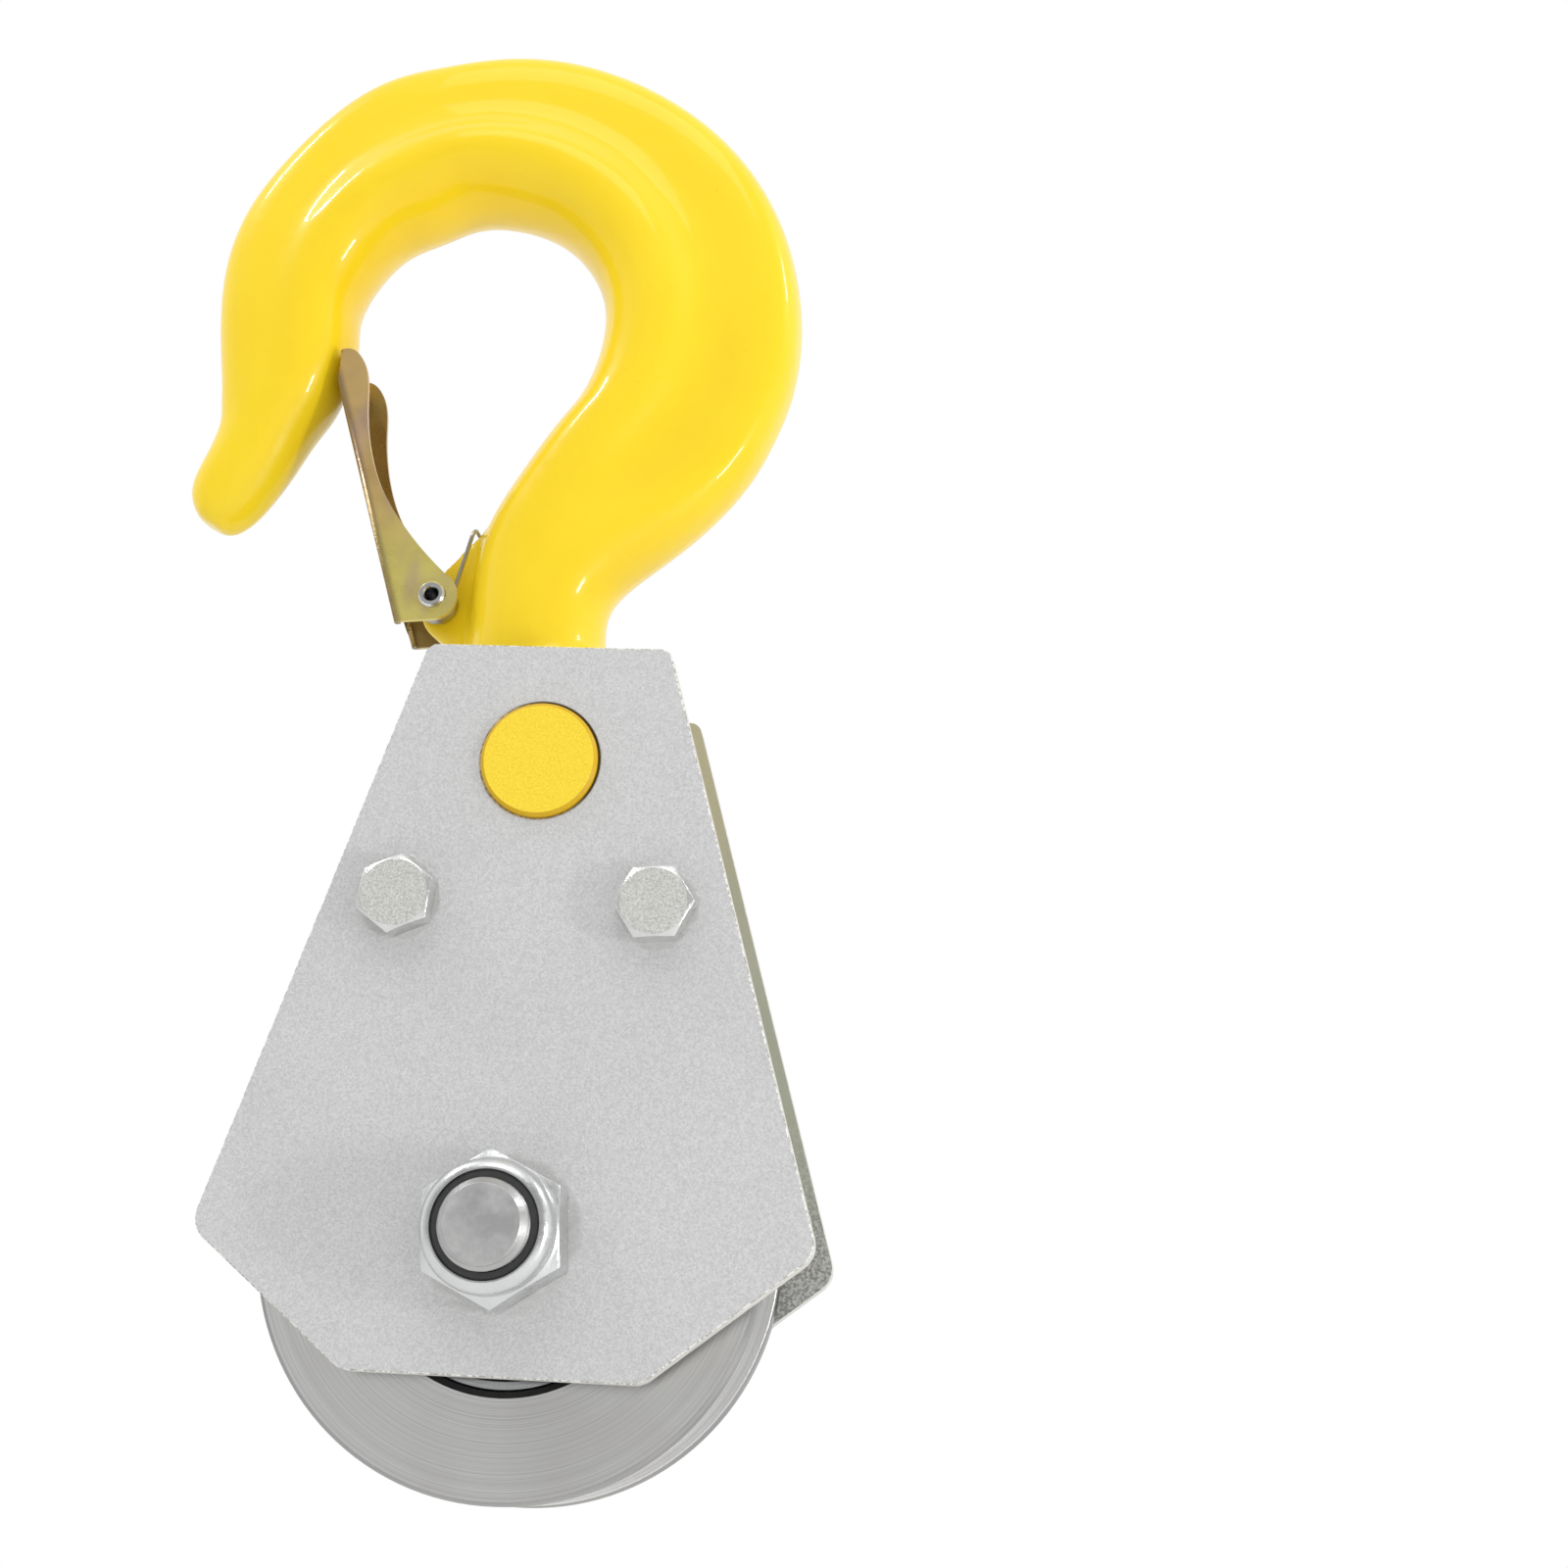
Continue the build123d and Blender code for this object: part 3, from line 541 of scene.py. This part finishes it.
def folded_latch():
    """The latch with the sheet's bend rounded along both edges of its spine."""
    fold_radius, fold_steps, edge_width = 1.15, 5, 0.22
    work = bmesh.new()
    work.from_mesh(nodes["latch"].data)
    bmesh.ops.remove_doubles(work, verts=work.verts, dist=1e-6)
    bmesh.ops.dissolve_limit(work, angle_limit=math.radians(0.5), verts=work.verts,
                             edges=work.edges)
    fold = []
    for edge in work.edges:
        if len(edge.link_faces) == 2:
            sides = sorted(edge.link_faces, key=lambda f: abs(f.normal.y))
            if sides[0].normal.dot(SPINE_OUT) > 0.9 and abs(sides[1].normal.y) > 0.9:
                fold.append(edge)
    bmesh.ops.bevel(work, geom=fold, offset=fold_radius * MM, segments=fold_steps,
                    profile=0.5, affect="EDGES")
    # smooth on the fold alone
    for face in work.faces:
        plain = abs(face.normal.y) > 0.99 or abs(face.normal.dot(SPINE_OUT)) > 0.99
        face.smooth = not plain and abs(face.normal.y) > 0.05
    mesh = bpy.data.meshes.new("folded_latch")
    work.to_mesh(mesh)
    work.free()
    obj = new_piece("folded_latch", mesh, "latch_zinc")
    bevel_edges(obj, edge_width, 50)
    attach(obj, "latch_body")
    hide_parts("latch")


# Studio

def sky():
    """The world: plain on matt surfaces, darker before shiny ones, white to the camera."""
    world = bpy.data.worlds.new("studio")
    bpy.context.scene.world = world
    world.use_nodes = True
    tree = world.node_tree
    tree.nodes.clear()
    link = tree.links.new

    def background(strength):
        node = tree.nodes.new("ShaderNodeBackground")
        node.inputs["Color"].default_value = (1, 1, 1, 1)
        node.inputs["Strength"].default_value = strength
        return node

    def blend(share, a, b):
        node = tree.nodes.new("ShaderNodeMixShader")
        for key, socket in enumerate((share, a, b)):
            link(socket, node.inputs[key])
        return node.outputs[0]

    path = tree.nodes.new("ShaderNodeLightPath")
    coords = tree.nodes.new("ShaderNodeTexCoord")
    axes = tree.nodes.new("ShaderNodeSeparateXYZ")
    link(coords.outputs["Generated"], axes.inputs[0])
    depth = tree.nodes.new("ShaderNodeMapRange")
    depth.interpolation_type = "SMOOTHSTEP"
    for key, value in enumerate((-0.75, 0.15, GLOSS_FRONT, GLOSS_BACK), start=1):
        depth.inputs[key].default_value = value
    link(axes.outputs[1], depth.inputs[0])
    glossy = background(GLOSS_BACK)
    link(depth.outputs[0], glossy.inputs["Strength"])
    seen = tree.nodes.new("ShaderNodeMath")
    seen.operation = "MAXIMUM"
    link(path.outputs["Is Camera Ray"], seen.inputs[0])
    link(path.outputs["Is Transmission Ray"], seen.inputs[1])
    light = blend(path.outputs["Is Glossy Ray"], background(AMBIENT).outputs[0],
                  glossy.outputs[0])
    whole = blend(seen.outputs[0], light, background(1.0).outputs[0])
    link(whole, tree.nodes.new("ShaderNodeOutputWorld").inputs[0])


def lamps():
    for name, (spot, size, power) in LAMPS.items():
        lamp = bpy.data.lights.new(name, "AREA")
        lamp.shape = "RECTANGLE"
        lamp.size, lamp.size_y = size
        lamp.energy = power
        holder = bpy.data.objects.new("lamp_" + name, lamp)
        holder.location = spot
        holder.rotation_euler = (AIM - Vector(spot)).to_track_quat("-Z", "Y").to_euler()
        holder.visible_camera = False
        bpy.context.scene.collection.objects.link(holder)


def ground():
    half = FLOOR_HALF
    floor = bpy.data.meshes.new("floor")
    floor.from_pydata([(-half, -half, 0), (half, -half, 0), (half, half, 0),
                       (-half, half, 0)], [], [(0, 1, 2, 3)])
    floor_obj = bpy.data.objects.new("floor", floor)
    floor_obj.location = (0, 0, FLOOR_HEIGHT)
    bpy.context.scene.collection.objects.link(floor_obj)
    net = Net("floor", Roughness=0.9, Specular_IOR_Level=0.0,
              Base_Color=(FLOOR_GREY, FLOOR_GREY, FLOOR_GREY, 1))
    seen = net.put("ShaderNodeLightPath", {}, out="Is Camera Ray")
    share = net.put("ShaderNodeMixShader",
                    {0: net.times(seen, FLOOR_GLOW), 1: net.bsdf.outputs[0],
                     2: net.put("ShaderNodeEmission", {})})
    net.tree.links.new(share, net.tree.nodes["Material Output"].inputs["Surface"])
    floor.materials.append(net.mat)


def camera():
    lens = bpy.data.cameras.new("camera")
    lens.sensor_width = SENSOR_WIDTH
    lens.lens = FOCAL_LENGTH
    holder = bpy.data.objects.new("camera", lens)
    ahead = CAMERA_AHEAD.normalized()
    up = CAMERA_RIGHT.normalized().cross(ahead).normalized()
    turn = Matrix((ahead.cross(up), up, -ahead)).transposed().to_4x4()
    holder.matrix_world = Matrix.Translation(CAMERA_PLACE) @ turn
    bpy.context.scene.collection.objects.link(holder)
    bpy.context.scene.camera = holder


forged_hook()
stud()
folded_latch()
sky()
lamps()
ground()
camera()
bpy.context.scene.view_settings.view_transform = "Standard"
